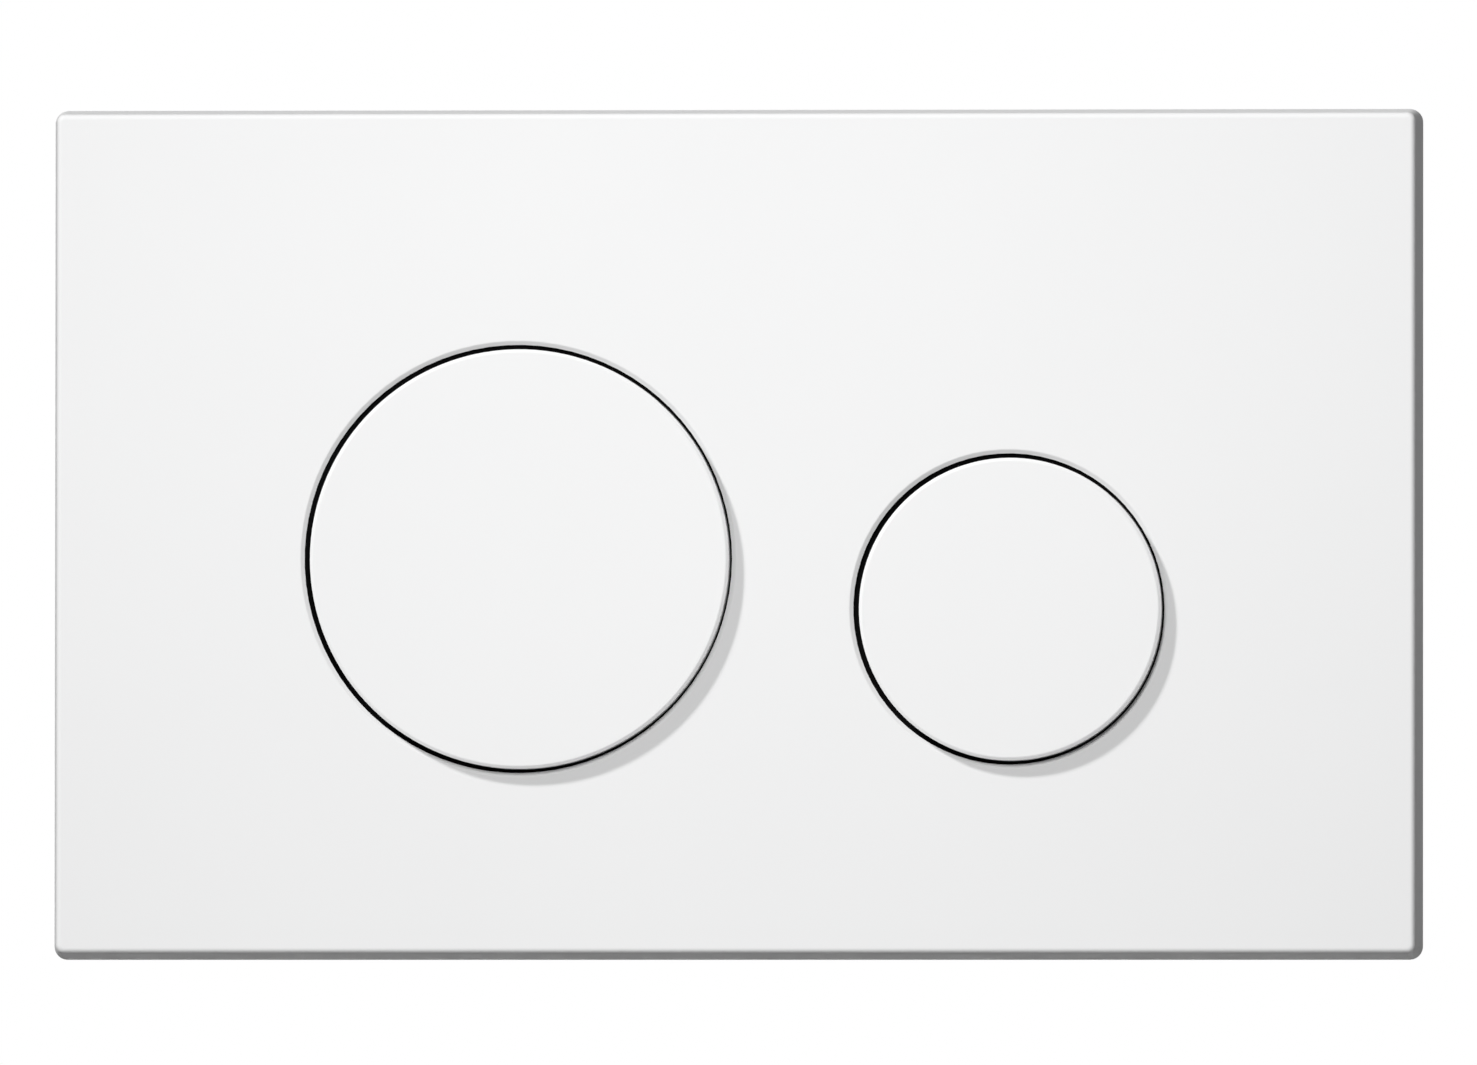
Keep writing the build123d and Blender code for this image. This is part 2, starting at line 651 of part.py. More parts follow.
os.makedirs("parts", exist_ok=True)
for node, shape in pieces.items():
    export_step(shape, f"parts/{node}.step")
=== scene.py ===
import json
import math

import bpy
import numpy as np
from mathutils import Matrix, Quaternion, Vector


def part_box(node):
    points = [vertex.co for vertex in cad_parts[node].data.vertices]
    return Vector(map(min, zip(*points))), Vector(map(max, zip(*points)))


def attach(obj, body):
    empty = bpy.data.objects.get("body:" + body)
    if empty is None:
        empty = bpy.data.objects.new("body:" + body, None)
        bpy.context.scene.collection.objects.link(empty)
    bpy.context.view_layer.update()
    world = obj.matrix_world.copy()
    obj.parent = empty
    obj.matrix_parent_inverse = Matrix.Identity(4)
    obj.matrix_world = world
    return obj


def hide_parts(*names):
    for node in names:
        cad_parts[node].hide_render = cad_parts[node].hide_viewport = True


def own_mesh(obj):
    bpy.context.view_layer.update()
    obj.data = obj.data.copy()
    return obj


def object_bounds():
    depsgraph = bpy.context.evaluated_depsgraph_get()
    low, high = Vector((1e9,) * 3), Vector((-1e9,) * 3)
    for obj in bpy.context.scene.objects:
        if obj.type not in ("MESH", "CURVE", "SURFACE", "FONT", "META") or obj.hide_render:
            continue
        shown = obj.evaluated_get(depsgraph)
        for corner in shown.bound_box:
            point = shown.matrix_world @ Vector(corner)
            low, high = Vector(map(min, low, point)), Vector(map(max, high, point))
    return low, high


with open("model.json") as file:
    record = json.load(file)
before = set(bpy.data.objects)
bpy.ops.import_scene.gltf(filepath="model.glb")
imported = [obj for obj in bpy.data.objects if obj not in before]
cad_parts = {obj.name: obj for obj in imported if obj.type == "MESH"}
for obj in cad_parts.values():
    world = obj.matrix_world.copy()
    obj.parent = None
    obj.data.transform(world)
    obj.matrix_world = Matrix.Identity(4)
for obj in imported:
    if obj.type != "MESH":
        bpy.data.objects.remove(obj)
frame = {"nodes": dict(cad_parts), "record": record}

# A dual-flush button plate in a plain studio. Lengths are in metres, and MM turns millimetres into them.
# Angles are in degrees. X points right, Z up and Y from the room into the wall, as in the frame.

cad_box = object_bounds()
MM = 0.001

# The photograph's frame, and where the plate's outline lies in it, in pixels
PHOTO_WIDTH = 1477
PHOTO_HEIGHT = 1065
OUTLINE_LEFT = 54.3
OUTLINE_RIGHT = 1422.3
OUTLINE_TOP = 109.6
OUTLINE_BOTTOM = 959.9

# Camera, whose sensor is given in millimetres, as Blender takes it
CAMERA_AZIMUTH = 3.4
CAMERA_ELEVATION = -1.6
CAMERA_ROLL = 0.05
CAMERA_DISTANCE = 6.0
SENSOR_WIDTH = 36.0
LENS_NEAR = 0.05
LENS_FAR = 60.0

# Light
KEY_FROM = (-0.543, -0.553, 0.608)
KEY_STRENGTH = 1.89
KEY_ANGLE = 6.0
FILL_AT = (-0.018, -0.57, 0.125)
FILL_AIM = (-0.02, -0.01, 0.03)
FILL_SIZE = (0.1, 0.14)
FILL_POWER = 1.87
REAR_AT = (-0.06, 1.7, 0.09)
REAR_AIM = (0, 0, 0)
REAR_SIZE = (0.3, 0.2)
REAR_POWER = 24.0
AMBIENT = 0.115

# Floor
FLOOR_DROP = 0.45
FLOOR_HALF = 8.0
FLOOR_GLOW = 0.42
FLOOR_TONES = (0.83, 0.87)
FLOOR_CLOUD_SCALE = 3.0

# Threads: the shares of a pitch that the flat crest and the two flanks take
THREAD_CREST = 0.22
THREAD_FLANKS = 0.56

# Push rods
ROD_PITCH = 2.0 * MM
ROD_THREAD = 0.5 * MM
ROD_NOSE_RADIUS = 3.2 * MM
ROD_NOSE_LENGTH = 10.0 * MM
ROD_NOSE_EDGE = 1.5 * MM
ROD_END_CHAMFER = 0.7 * MM

# Fixing studs
STUD_RADIUS = 4.0 * MM
STUD_PITCH = 1.25 * MM
STUD_THREAD = 0.62 * MM
STUD_THREAD_LENGTH = 38.0 * MM
SPIGOT_RADIUS = 3.0 * MM
SPIGOT_PITCH = 1.0 * MM
SPIGOT_THREAD = 0.5 * MM
SPIGOT_LENGTH = 25.0 * MM
STUD_CHAMFER = 0.8 * MM

# Return springs: the turns in all, those that lie closed at each end, and those over which they open
SPRING_WIRE = 1.2 * MM
SPRING_TURNS = 6.4
SPRING_CLOSED_TURNS = 0.9
SPRING_OPENING_TURNS = 0.4

# Bridge screws
SCREW_RADIUS = 1.45 * MM
SCREW_HEAD_RADIUS = 2.9 * MM
SCREW_HEAD_HEIGHT = 1.9 * MM
SCREW_HEAD_EDGE = 0.7 * MM
SCREW_TIP = 0.9 * MM

# Cross recess: the share of its depth that its walls take, and the shares of its mouth's width that are
# left at the walls' foot and at its floor
CROSS_ARM = 1.55 * MM
CROSS_HALF_WIDTH = 0.34 * MM
CROSS_DEPTH = 1.15 * MM
CROSS_LIP = 0.06 * MM
CROSS_WALL = 0.7
CROSS_FOOT = 0.94
CROSS_FLOOR = 0.6

# Patterns of the finishes: scales of their noise, how far painted shade darkens thread roots, and how
# much duller the roots are
FLOW_SCALE = 22.0
HAZE_SCALE = 160.0
CLOUD_SCALE = 320.0
STREAK_SCALE = 2600.0
STREAK_SQUEEZE = 0.08
ROOT_SHADE = (0.35, 0.9)
ROOT_DULLNESS = 0.2

# Fineness of the new surfaces
ROUND_POINTS = 40
HEAD_POINTS = 96
WIRE_POINTS = 12
STEPS_PER_PITCH = 9
STEPS_PER_TURN = 48
EDGE_STEPS = 6
SMOOTH_ANGLE = 32.0


def in_scene(name, data):
    """A new object at the origin, linked into the scene."""
    made = bpy.data.objects.new(name, data)
    bpy.context.scene.collection.objects.link(made)
    return made


# Surfaces: each shell is an array of rings with the shape (rings, points in a ring, 3)


def closed_shell(rings):
    """Points, quads and triangles of a closed shell. Quads join each ring to the next, and at
    both ends a fan of triangles runs to the mean of the end ring. A shell whose volume comes
    out negative is turned the other way round, so faces always point outwards."""
    count, size, _ = rings.shape
    here = np.arange(count * size).reshape(count, size)
    beside = np.roll(here, -1, axis=1)
    quads = np.stack([here[:-1], beside[:-1], beside[1:], here[1:]], axis=-1).reshape(-1, 4)
    first = np.full(size, count * size)
    last = first + 1
    fans = np.concatenate(
        [
            np.stack([first, beside[0], here[0]], axis=-1),
            np.stack([last, here[-1], beside[-1]], axis=-1),
        ]
    )
    points = np.concatenate([rings.reshape(-1, 3), rings[[0, -1]].mean(axis=1)])
    halves = np.concatenate([quads[:, [0, 1, 2]], quads[:, [0, 2, 3]], fans])
    a, b, c = (points[halves[:, corner]] for corner in range(3))
    if np.einsum("ij,ij->i", a, np.cross(b, c)).sum() < 0:
        quads, fans = quads[:, ::-1], fans[:, ::-1]
    return points, quads, fans


def shell_mesh(name, shells, grooves=None):
    """One mesh of several closed shells. grooves gives, for each shell, how deep each ring point
    lies in a thread, from 0 on its crest to 1 in its root, and is kept as an attribute."""
    points, faces, depths, offset = [], [], [], 0
    for index, rings in enumerate(shells):
        shell_points, quads, fans = closed_shell(rings)
        points.append(shell_points)
        faces += (quads + offset).tolist() + (fans + offset).tolist()
        offset += len(shell_points)
        depth = np.zeros(len(shell_points)) if grooves is None else grooves[index].ravel()
        depths.append(np.pad(depth, (0, len(shell_points) - len(depth))))
    mesh = bpy.data.meshes.new(name)
    mesh.from_pydata(np.concatenate(points).tolist(), [], faces)
    groove = mesh.attributes.new("groove", "FLOAT", "POINT")
    groove.data.foreach_set("value", np.concatenate(depths).astype(np.float32))
    mesh.shade_smooth()
    mesh.set_sharp_from_angle(angle=math.radians(SMOOTH_ANGLE))
    return mesh


def round_rings(centre, along, radius):
    """Rings about an axis parallel to Y through centre: the ring at distance along[i] has the
    radius radius[i, j] at the j-th of evenly spaced angles."""
    turn = 2 * np.pi * np.arange(radius.shape[1]) / radius.shape[1]
    along = np.broadcast_to(along[:, None], radius.shape)
    return np.stack(
        [centre.x + radius * np.cos(turn), along, centre.z + radius * np.sin(turn)], axis=-1
    )


def thread_groove(along, pitch, points):
    """Share of the thread's depth at each ring point: a helix of one start, flat on the crest,
    flat in the root and straight on the flanks, as a trapezoid wave of the distance in pitches
    less the share of a turn."""
    turn = np.arange(points) / points
    phase = (along[:, None] / pitch - turn) % 1.0
    return np.clip((np.abs(2 * phase - 1) - THREAD_CREST) / THREAD_FLANKS, 0, 1)


def turned_rows(knots):
    """Distances and radii of a turned profile's rows. Each knot is a distance along the axis, a
    radius and the number of equal steps that lead to it, straight from the knot before."""
    rows = [np.array([knots[0][:2]])]
    for (start, start_radius, _), (end, end_radius, steps) in zip(knots, knots[1:]):
        rows.append(np.linspace((start, start_radius), (end, end_radius), steps + 1)[1:])
    along, radius = np.concatenate(rows).T
    return along, radius


def rounded_end(start, radius, edge):
    """Knots of a rounded end that starts at full radius and ends, one edge further on, at the
    radius less the edge: the points of a quarter circle."""
    turn = np.linspace(0, np.pi / 2, EDGE_STEPS + 1)[1:]
    along = start + edge * np.sin(turn)
    radii = radius - edge + edge * np.cos(turn)
    return [(end, end_radius, 1) for end, end_radius in zip(along, radii)]


def threaded(centre, knots, threads):
    """Rings and groove depths of a turned piece with helical threads. Each thread is a start, an
    end, a pitch and a depth, and it runs out over one pitch at both ends."""
    along, radius = turned_rows(knots)
    cut = np.zeros((len(along), ROUND_POINTS))
    groove = np.zeros_like(cut)
    for start, end, pitch, depth in threads:
        share = np.clip(np.minimum(along - start, end - along) / pitch, 0, 1)
        wave = thread_groove(along, pitch, ROUND_POINTS) * share[:, None]
        cut += depth * wave
        groove = np.maximum(groove, wave)
    return round_rings(centre, along, radius[:, None] - cut), groove


def push_rod_shell(node_name):
    """A threaded rod, turned from a chamfer, a barrel, a step down to a plain nose and a quarter
    circle at the nose's end."""
    low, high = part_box(node_name)
    centre = (low + high) / 2
    radius = (high.x - low.x) / 2
    shoulder = high.y - ROD_NOSE_LENGTH
    round_start = high.y - ROD_NOSE_EDGE
    steps = round((shoulder - low.y) / ROD_PITCH * STEPS_PER_PITCH)
    knots = [
        (low.y, radius - ROD_END_CHAMFER, 0),
        (low.y + ROD_END_CHAMFER, radius, 1),
        (shoulder - ROD_END_CHAMFER, radius, steps),
        (shoulder, ROD_NOSE_RADIUS, 1),
        (round_start, ROD_NOSE_RADIUS, 1),
    ]
    knots += rounded_end(round_start, ROD_NOSE_RADIUS, ROD_NOSE_EDGE)
    threads = [(low.y, shoulder - ROD_PITCH / 2, ROD_PITCH, ROD_THREAD)]
    return threaded(centre, knots, threads)


def stud_shell(centre, front, back):
    """A stepped stud: threaded barrel, plain shank and threaded spigot, chamfered at both ends."""
    shoulder = back - SPIGOT_LENGTH
    thread_end = front + STUD_THREAD_LENGTH
    barrel_steps = round(STUD_THREAD_LENGTH / STUD_PITCH * STEPS_PER_PITCH)
    spigot_steps = round(SPIGOT_LENGTH / SPIGOT_PITCH * STEPS_PER_PITCH)
    knots = [
        (front, STUD_RADIUS - STUD_CHAMFER, 0),
        (front + STUD_CHAMFER, STUD_RADIUS, 1),
        (thread_end, STUD_RADIUS, barrel_steps),
        (shoulder, STUD_RADIUS, 1),
        (shoulder, SPIGOT_RADIUS, 1),
        (back - STUD_CHAMFER, SPIGOT_RADIUS, spigot_steps),
        (back, SPIGOT_RADIUS - STUD_CHAMFER, 1),
    ]
    threads = [
        (front, thread_end, STUD_PITCH, STUD_THREAD),
        (shoulder + SPIGOT_PITCH, back, SPIGOT_PITCH, SPIGOT_THREAD),
    ]
    return threaded(centre, knots, threads)


def spring_shell(node_name):
    """A compression spring with closed ends: a round wire carried along a helix whose rise per
    turn is one wire at both ends and wider between, so that it fills the node's length."""
    low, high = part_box(node_name)
    centre = (low + high) / 2
    coil_radius = (high.x - low.x - SPRING_WIRE) / 2
    turns = np.linspace(0, SPRING_TURNS, round(SPRING_TURNS * STEPS_PER_TURN))
    from_end = np.minimum(turns, SPRING_TURNS - turns)
    openness = np.clip((from_end - SPRING_CLOSED_TURNS) / SPRING_OPENING_TURNS, 0, 1)
    spread = np.cumsum(openness) / openness.sum()
    closed_rise = SPRING_WIRE * turns
    rise = high.y - low.y - SPRING_WIRE
    height = low.y + SPRING_WIRE / 2 + closed_rise + spread * (rise - closed_rise[-1])
    angle = 2 * np.pi * turns[:, None]
    section = 2 * np.pi * np.arange(WIRE_POINTS) / WIRE_POINTS
    reach = coil_radius + SPRING_WIRE / 2 * np.cos(section)
    return np.stack(
        [
            centre.x + reach * np.cos(angle),
            height[:, None] + SPRING_WIRE / 2 * np.sin(section),
            centre.z + reach * np.sin(angle),
        ],
        axis=-1,
    )


def cross_outline(points):
    """Radius of a cross recess at evenly spaced angles, half a step off its axes: two bars at
    right angles, so the larger of the two bars' radii, and a bar's radius is the nearer of its
    end and its side."""
    turn = 2 * np.pi * (np.arange(points) + 0.5) / points
    across, up = np.abs(np.cos(turn)), np.abs(np.sin(turn))
    lying = np.minimum(CROSS_ARM / across, CROSS_HALF_WIDTH / up)
    standing = np.minimum(CROSS_HALF_WIDTH / across, CROSS_ARM / up)
    return np.maximum(lying, standing)


def screw_shell(centre, tip, top):
    """A pan-headed screw: tapered tip, shank, head with a rounded edge, and a cross recess that
    narrows towards its floor."""
    seat = top - SCREW_HEAD_HEIGHT
    edge_start = top - SCREW_HEAD_EDGE
    knots = [
        (tip, SCREW_RADIUS - SCREW_TIP, 0),
        (tip + SCREW_TIP, SCREW_RADIUS, 1),
        (seat, SCREW_RADIUS, 1),
        (seat, SCREW_HEAD_RADIUS, 1),
        (edge_start, SCREW_HEAD_RADIUS, 1),
    ]
    knots += rounded_end(edge_start, SCREW_HEAD_RADIUS, SCREW_HEAD_EDGE)
    along, radius = turned_rows(knots)
    cross = cross_outline(HEAD_POINTS)
    recess = np.stack([cross + CROSS_LIP, cross, cross * CROSS_FOOT, cross * CROSS_FLOOR])
    depths = np.array([0, CROSS_LIP, CROSS_DEPTH * CROSS_WALL, CROSS_DEPTH])
    along = np.concatenate([along, top - depths])
    radius = np.concatenate([np.repeat(radius[:, None], HEAD_POINTS, axis=1), recess])
    return round_rings(centre, along, radius)


# Shader nodes


def bare_tree(owner):
    """The node tree of a material or a world, emptied."""
    owner.use_nodes = True
    owner.node_tree.nodes.clear()
    return owner.node_tree


def node(tree, kind, inputs=None, **settings):
    """A node with its settings, and its inputs set to a value or linked to another node's output."""
    made = tree.nodes.new(kind)
    for name, value in settings.items():
        setattr(made, name, value)
    for name, value in (inputs or {}).items():
        if isinstance(value, bpy.types.NodeSocket):
            tree.links.new(value, made.inputs[name])
        else:
            made.inputs[name].default_value = value
    return made


def math_node(tree, operation, a, b):
    """The result of one step of arithmetic on two values."""
    return node(tree, "ShaderNodeMath", {0: a, 1: b}, operation=operation).outputs[0]


def from_middle(tree, value, spread):
    """How far a value from 0 to 1 lies from its middle, times a spread."""
    return math_node(tree, "MULTIPLY", math_node(tree, "SUBTRACT", value, 0.5), spread)


def mixed(tree, share, a, b):
    """A colour between a and b."""
    made = node(tree, "ShaderNodeMix", {0: share, 6: a, 7: b}, data_type="RGBA")
    return made.outputs[2]


def spread_over(tree, value, low, high):
    """A value from 0 to 1, spread from low to high."""
    made = node(tree, "ShaderNodeMapRange", {"Value": value, "To Min": low, "To Max": high})
    return made.outputs["Result"]


def noise(tree, place, scale, detail, roughness=0.5):
    """Noise at a place, from 0 to 1."""
    made = node(
        tree,
        "ShaderNodeTexNoise",
        {"Vector": place, "Scale": scale, "Detail": detail, "Roughness": roughness},
    )
    return made.outputs["Fac"]


def seen_share(tree):
    """1 where the camera, a reflection or glass looks, and 0 for light on its way to a surface."""
    path = node(tree, "ShaderNodeLightPath")
    seen = math_node(tree, "MAXIMUM", path.outputs["Is Camera Ray"], path.outputs["Is Glossy Ray"])
    return math_node(tree, "MAXIMUM", seen, path.outputs["Is Transmission Ray"])


def group_tree(name, inputs, outputs):
    """An empty node group with named sockets, and its input and output nodes."""
    tree = bpy.data.node_groups.new(name, "ShaderNodeTree")
    kinds = {"colour": "NodeSocketColor", "value": "NodeSocketFloat"}
    for socket, kind in inputs.items():
        tree.interface.new_socket(name=socket, in_out="INPUT", socket_type=kinds[kind])
    for socket, kind in outputs.items():
        tree.interface.new_socket(name=socket, in_out="OUTPUT", socket_type=kinds[kind])
    return tree, tree.nodes.new("NodeGroupInput"), tree.nodes.new("NodeGroupOutput")


# Finishes


def moulded_surface_group():
    """Moulded plastic: the tone drifts slowly along the flow, a fine spark-eroded grain gives the
    height, and the gloss is lower where the grain stands high or a soft haze lies."""
    tree, given, out = group_tree(
        "moulded_surface",
        {
            "Colour": "colour",
            "Flow Colour": "colour",
            "Roughness": "value",
            "Roughness Spread": "value",
            "Grain Scale": "value",
        },
        {"Colour": "colour", "Roughness": "value", "Height": "value"},
    )
    place = node(tree, "ShaderNodeTexCoord").outputs["Object"]
    flow = noise(tree, place, FLOW_SCALE, detail=4.0, roughness=0.55)
    grain = noise(tree, place, given.outputs["Grain Scale"], detail=2.0)
    haze = noise(tree, place, HAZE_SCALE, detail=3.0)
    colour = mixed(tree, flow, given.outputs["Colour"], given.outputs["Flow Colour"])
    mean = math_node(tree, "MULTIPLY", math_node(tree, "ADD", grain, haze), 0.5)
    shift = from_middle(tree, mean, given.outputs["Roughness Spread"])
    rough = math_node(tree, "ADD", given.outputs["Roughness"], shift)
    tree.links.new(colour, out.inputs["Colour"])
    tree.links.new(rough, out.inputs["Roughness"])
    tree.links.new(grain, out.inputs["Height"])
    return tree


def plated_metal_group():
    """Plated or drawn steel: a cloudy tint, fine streaks along the axis, and duller thread roots
    darkened with painted shade where the groove attribute is deep."""
    tree, given, out = group_tree(
        "plated_metal",
        {
            "Colour": "colour",
            "Tint": "colour",
            "Painted Root Shade": "colour",
            "Roughness": "value",
            "Roughness Spread": "value",
        },
        {"Colour": "colour", "Roughness": "value", "Height": "value"},
    )
    place = node(tree, "ShaderNodeTexCoord").outputs["Object"]
    drawn = node(tree, "ShaderNodeMapping", {"Vector": place, "Scale": (1.0, STREAK_SQUEEZE, 1.0)})
    clouds = noise(tree, place, CLOUD_SCALE, detail=4.0, roughness=0.6)
    streaks = noise(tree, drawn.outputs["Vector"], STREAK_SCALE, detail=2.0)
    groove = node(tree, "ShaderNodeAttribute", attribute_name="groove").outputs["Fac"]
    tinted = mixed(tree, clouds, given.outputs["Colour"], given.outputs["Tint"])
    # Painted shade: thread roots darken toward the root colour where the groove is deep
    root_shade_share = math_node(tree, "MULTIPLY", groove, spread_over(tree, clouds, *ROOT_SHADE))
    colour = mixed(tree, root_shade_share, tinted, given.outputs["Painted Root Shade"])
    shift = from_middle(tree, streaks, given.outputs["Roughness Spread"])
    rough = math_node(tree, "ADD", given.outputs["Roughness"], shift)
    rough = math_node(tree, "ADD", rough, math_node(tree, "MULTIPLY", groove, ROOT_DULLNESS))
    tree.links.new(colour, out.inputs["Colour"])
    tree.links.new(rough, out.inputs["Roughness"])
    tree.links.new(streaks, out.inputs["Height"])
    return tree


def surface_material(name, group, values, height, metallic=0.0, specular=0.5):
    """A material whose colour, roughness and bump come from a group placed with its own values."""
    material = bpy.data.materials.new(name)
    tree = bare_tree(material)
    surface = node(tree, "ShaderNodeGroup", node_tree=group)
    for socket, value in values.items():
        surface.inputs[socket].default_value = value
    bump = node(
        tree,
        "ShaderNodeBump",
        {"Height": surface.outputs["Height"], "Strength": 1.0, "Distance": height},
    )
    shader = node(
        tree,
        "ShaderNodeBsdfPrincipled",
        {
            "Base Color": surface.outputs["Colour"],
            "Roughness": surface.outputs["Roughness"],
            "Normal": bump.outputs["Normal"],
            "Metallic": metallic,
            "Specular IOR Level": specular,
        },
    )
    node(tree, "ShaderNodeOutputMaterial", {"Surface": shader.outputs["BSDF"]})
    return material


def plastic(name, colour, flow, roughness, spread, grain, height, specular):
    """A moulded plastic or rubber. flow is the colour it drifts to, grain its grain's scale and
    height the grain's depth."""
    values = {
        "Colour": (*colour, 1.0),
        "Flow Colour": (*flow, 1.0),
        "Roughness": roughness,
        "Roughness Spread": spread,
        "Grain Scale": grain,
    }
    return surface_material(name, moulded_surface, values, height, specular=specular)


def steel(name, colour, tint, root, roughness, spread, height):
    """A plated or drawn steel. tint is the colour of its clouds, root the colour of painted shade in its
    thread roots and height the depth of its streaks."""
    values = {
        "Colour": (*colour, 1.0),
        "Tint": (*tint, 1.0),
        "Painted Root Shade": (*root, 1.0),
        "Roughness": roughness,
        "Roughness Spread": spread,
    }
    return surface_material(name, plated_metal, values, height, metallic=1.0)


moulded_surface = moulded_surface_group()
plated_metal = plated_metal_group()

finishes = {
    "white_abs": plastic(
        "white_abs",
        colour=(0.871, 0.873, 0.8745),
        flow=(0.8875, 0.8885, 0.889),
        roughness=0.6,
        spread=0.1,
        grain=2400.0,
        height=0.004 * MM,
        specular=0.15,
    ),
    "buffer_rubber": plastic(
        "buffer_rubber",
        colour=(0.002, 0.002, 0.0021),
        flow=(0.0035, 0.0035, 0.0036),
        roughness=0.85,
        spread=0.15,
        grain=1500.0,
        height=0.02 * MM,
        specular=0.08,
    ),
    "bridge_plastic": plastic(
        "bridge_plastic",
        colour=(0.47, 0.49, 0.5),
        flow=(0.53, 0.55, 0.555),
        roughness=0.5,
        spread=0.16,
        grain=1400.0,
        height=0.012 * MM,
        specular=0.4,
    ),
    "frame_plastic": plastic(
        "frame_plastic",
        colour=(0.06, 0.062, 0.066),
        flow=(0.08, 0.082, 0.087),
        roughness=0.55,
        spread=0.18,
        grain=1200.0,
        height=0.018 * MM,
        specular=0.45,
    ),
    "bush_acetal": plastic(
        "bush_acetal",
        colour=(0.78, 0.76, 0.69),
        flow=(0.83, 0.81, 0.75),
        roughness=0.34,
        spread=0.1,
        grain=1800.0,
        height=0.004 * MM,
        specular=0.5,
    ),
    "rod_plastic": plastic(
        "rod_plastic",
        colour=(0.075, 0.19, 0.38),
        flow=(0.1, 0.24, 0.45),
        roughness=0.4,
        spread=0.14,
        grain=1600.0,
        height=0.006 * MM,
        specular=0.5,
    ),
    "nut_plastic": plastic(
        "nut_plastic",
        colour=(0.022, 0.022, 0.024),
        flow=(0.034, 0.034, 0.036),
        roughness=0.45,
        spread=0.16,
        grain=1300.0,
        height=0.012 * MM,
        specular=0.5,
    ),
    "spring_steel": steel(
        "spring_steel",
        colour=(0.58, 0.58, 0.57),
        tint=(0.48, 0.47, 0.46),
        # root is the colour of painted shade in thread roots
        root=(0.2, 0.2, 0.2),
        roughness=0.26,
        spread=0.14,
        height=0.002 * MM,
    ),
    "zinc_steel": steel(
        "zinc_steel",
        colour=(0.47, 0.48, 0.505),
        # root is the colour of painted shade in thread roots
        tint=(0.37, 0.38, 0.415),
        root=(0.07, 0.07, 0.075),
        roughness=0.3,
        spread=0.16,
        height=0.003 * MM,
    ),
}

# The frame's own nodes take their finish from the record's slots
slot_of = {part["node"]: part["material_slot"] for part in frame["record"]["subparts"]}
for name, shown in frame["nodes"].items():
    if not shown.material_slots:
        shown.data.materials.append(None)
    for material_slot in shown.material_slots:
        material_slot.material = finishes[slot_of[name]]

# The photograph shows no light thrown back from the buttons' sides onto the plate
for button in ("full", "half"):
    frame["nodes"][f"{button}_flush_button"].visible_diffuse = False


# New pieces


def add_piece(name, mesh, body, node_name):
    """A new piece that rides on a body and stands for a node, with the node's finish."""
    piece = in_scene(name, mesh)
    mesh.materials.append(finishes[slot_of[node_name]])
    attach(piece, body)
    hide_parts(node_name)
    return piece


# Push rods and return springs of the two buttons
for button in ("full", "half"):
    rod_rings, rod_groove = push_rod_shell(f"{button}_push_rod")
    rod_mesh = shell_mesh(f"{button}_threaded_rod", [rod_rings], [rod_groove])
    add_piece(f"{button}_threaded_rod", rod_mesh, f"{button}_button", f"{button}_push_rod")

    coil_mesh = shell_mesh(f"{button}_coil", [spring_shell(f"{button}_return_spring")])
    coil = add_piece(f"{button}_coil", coil_mesh, "plate", f"{button}_return_spring")
    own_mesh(coil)

# Fixing studs, one at either side
stud_low, stud_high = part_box("fixing_studs")
stud_shells = [
    stud_shell(Vector((x, 0, (stud_low.z + stud_high.z) / 2)), stud_low.y, stud_high.y)
    for x in (stud_low.x + STUD_RADIUS, stud_high.x - STUD_RADIUS)
]
stud_mesh = shell_mesh(
    "threaded_studs", [rings for rings, _ in stud_shells], [groove for _, groove in stud_shells]
)
add_piece("threaded_studs", stud_mesh, "plate", "fixing_studs")

# Bridge screws, in two rows of three
screw_low, screw_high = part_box("bridge_screws")
between_buttons = (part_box("full_flush_button")[1].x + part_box("half_flush_button")[0].x) / 2
screw_xs = (screw_low.x + SCREW_HEAD_RADIUS, between_buttons, screw_high.x - SCREW_HEAD_RADIUS)
screw_zs = (screw_low.z + SCREW_HEAD_RADIUS, screw_high.z - SCREW_HEAD_RADIUS)
screw_shells = [
    screw_shell(Vector((x, 0, z)), screw_low.y, screw_high.y) for x in screw_xs for z in screw_zs
]
add_piece("cross_head_screws", shell_mesh("cross_head_screws", screw_shells), "plate", "bridge_screws")


# Studio


def studio_world():
    """White where the camera, a reflection or glass sees it, and a faint even light elsewhere."""
    world = bpy.data.worlds.new("studio")
    tree = bare_tree(world)
    faint = node(tree, "ShaderNodeBackground", {"Color": (1, 1, 1, 1), "Strength": AMBIENT})
    white = node(tree, "ShaderNodeBackground", {"Color": (1, 1, 1, 1), "Strength": 1.0})
    shown = node(
        tree,
        "ShaderNodeMixShader",
        {0: seen_share(tree), 1: faint.outputs["Background"], 2: white.outputs["Background"]},
    )
    node(tree, "ShaderNodeOutputWorld", {"Surface": shown.outputs["Shader"]})
    bpy.context.scene.world = world


def aimed(obj, target):
    """Turns a lamp or camera so that it looks at a point."""
    obj.rotation_mode = "QUATERNION"
    obj.rotation_quaternion = (Vector(target) - obj.location).to_track_quat("-Z", "Y")


def add_light(name, kind, at, target, **settings):
    """A lamp at a place, aimed at a point."""
    lamp = bpy.data.lights.new(name, kind)
    for setting, value in settings.items():
        setattr(lamp, setting, value)
    holder = in_scene(name, lamp)
    holder.location = at
    aimed(holder, target)


def studio_lights():
    """A small key from the upper left, a soft box in front and a soft box behind for the back."""
    add_light("key", "SUN", KEY_FROM, (0, 0, 0), energy=KEY_STRENGTH, angle=math.radians(KEY_ANGLE))
    for name, at, target, size, power in (
        ("fill", FILL_AT, FILL_AIM, FILL_SIZE, FILL_POWER),
        ("rear", REAR_AT, REAR_AIM, REAR_SIZE, REAR_POWER),
    ):
        add_light(name, "AREA", at, target, energy=power, shape="RECTANGLE", size=size[0], size_y=size[1])


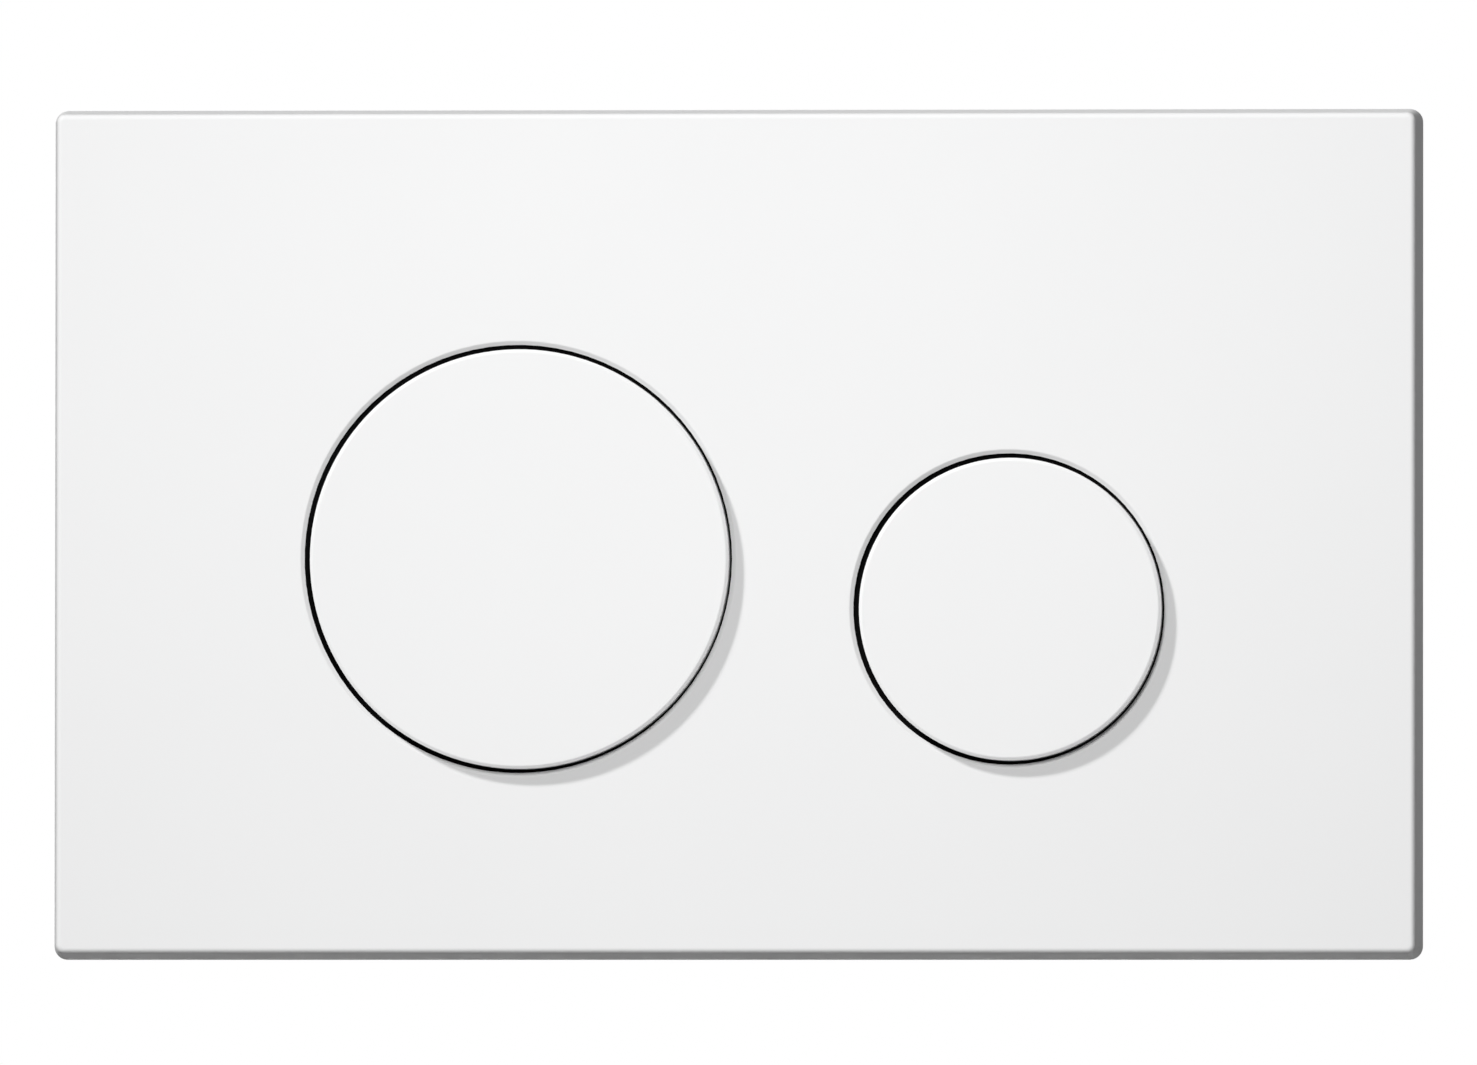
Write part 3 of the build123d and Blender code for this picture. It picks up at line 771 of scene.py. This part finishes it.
def floor_material():
    """Pale and faintly cloudy. It glows a little where it is seen, and from below it is clear."""
    material = bpy.data.materials.new("pale_floor")
    tree = bare_tree(material)
    place = node(tree, "ShaderNodeTexCoord").outputs["Object"]
    clouds = noise(tree, place, FLOOR_CLOUD_SCALE, detail=3.0)
    tone = mixed(tree, clouds, *((grey, grey, grey, 1.0) for grey in FLOOR_TONES))
    matt = node(tree, "ShaderNodeBsdfDiffuse", {"Color": tone})
    strength = math_node(tree, "MULTIPLY", seen_share(tree), FLOOR_GLOW)
    glow = node(tree, "ShaderNodeEmission", {"Strength": strength})
    lit = node(tree, "ShaderNodeAddShader", {0: matt.outputs["BSDF"], 1: glow.outputs["Emission"]})
    below = node(tree, "ShaderNodeNewGeometry").outputs["Backfacing"]
    clear = node(tree, "ShaderNodeBsdfTransparent")
    shown = node(
        tree, "ShaderNodeMixShader", {0: below, 1: lit.outputs["Shader"], 2: clear.outputs["BSDF"]}
    )
    node(tree, "ShaderNodeOutputMaterial", {"Surface": shown.outputs["Shader"]})
    return material


def pale_floor():
    """A wide square floor below the plate. It keeps the plate's shadow and throws no light back."""
    height = cad_box[0].z - FLOOR_DROP
    ends = (-FLOOR_HALF, FLOOR_HALF)
    mesh = bpy.data.meshes.new("floor")
    mesh.from_pydata([(x, y, height) for x in ends for y in ends], [], [(0, 2, 3, 1)])
    mesh.materials.append(floor_material())
    floor = in_scene("floor", mesh)
    floor.visible_diffuse = False


def photo_camera():
    """A long lens from a little right of and below the plate's middle, framed so that the plate's
    outline falls where the photograph has it."""
    azimuth, elevation = math.radians(CAMERA_AZIMUTH), math.radians(CAMERA_ELEVATION)
    back = Vector(
        (
            math.sin(azimuth) * math.cos(elevation),
            -math.cos(azimuth) * math.cos(elevation),
            math.sin(elevation),
        )
    )
    right = Vector((math.cos(azimuth), math.sin(azimuth), 0))
    up = right.cross(-back)
    rim_low, rim_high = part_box("cover_plate")
    rim_width = (rim_high.x - rim_low.x) * math.cos(azimuth)
    pixel = rim_width / (OUTLINE_RIGHT - OUTLINE_LEFT)
    aside = PHOTO_WIDTH / 2 - (OUTLINE_LEFT + OUTLINE_RIGHT) / 2
    above = (OUTLINE_TOP + OUTLINE_BOTTOM) / 2 - PHOTO_HEIGHT / 2
    aim = right * aside * pixel + up * above * pixel
    lens = bpy.data.cameras.new("photo_camera")
    lens.sensor_fit = "HORIZONTAL"
    lens.sensor_width = SENSOR_WIDTH
    lens.lens = SENSOR_WIDTH * CAMERA_DISTANCE / (PHOTO_WIDTH * pixel)
    lens.clip_start = LENS_NEAR
    lens.clip_end = LENS_FAR
    camera = in_scene("photo_camera", lens)
    camera.location = aim + back * CAMERA_DISTANCE
    aimed(camera, aim)
    camera.rotation_quaternion @= Quaternion((0, 0, 1), math.radians(CAMERA_ROLL))
    bpy.context.scene.camera = camera


studio_world()
studio_lights()
pale_floor()
photo_camera()
bpy.context.scene.view_settings.view_transform = "Standard"
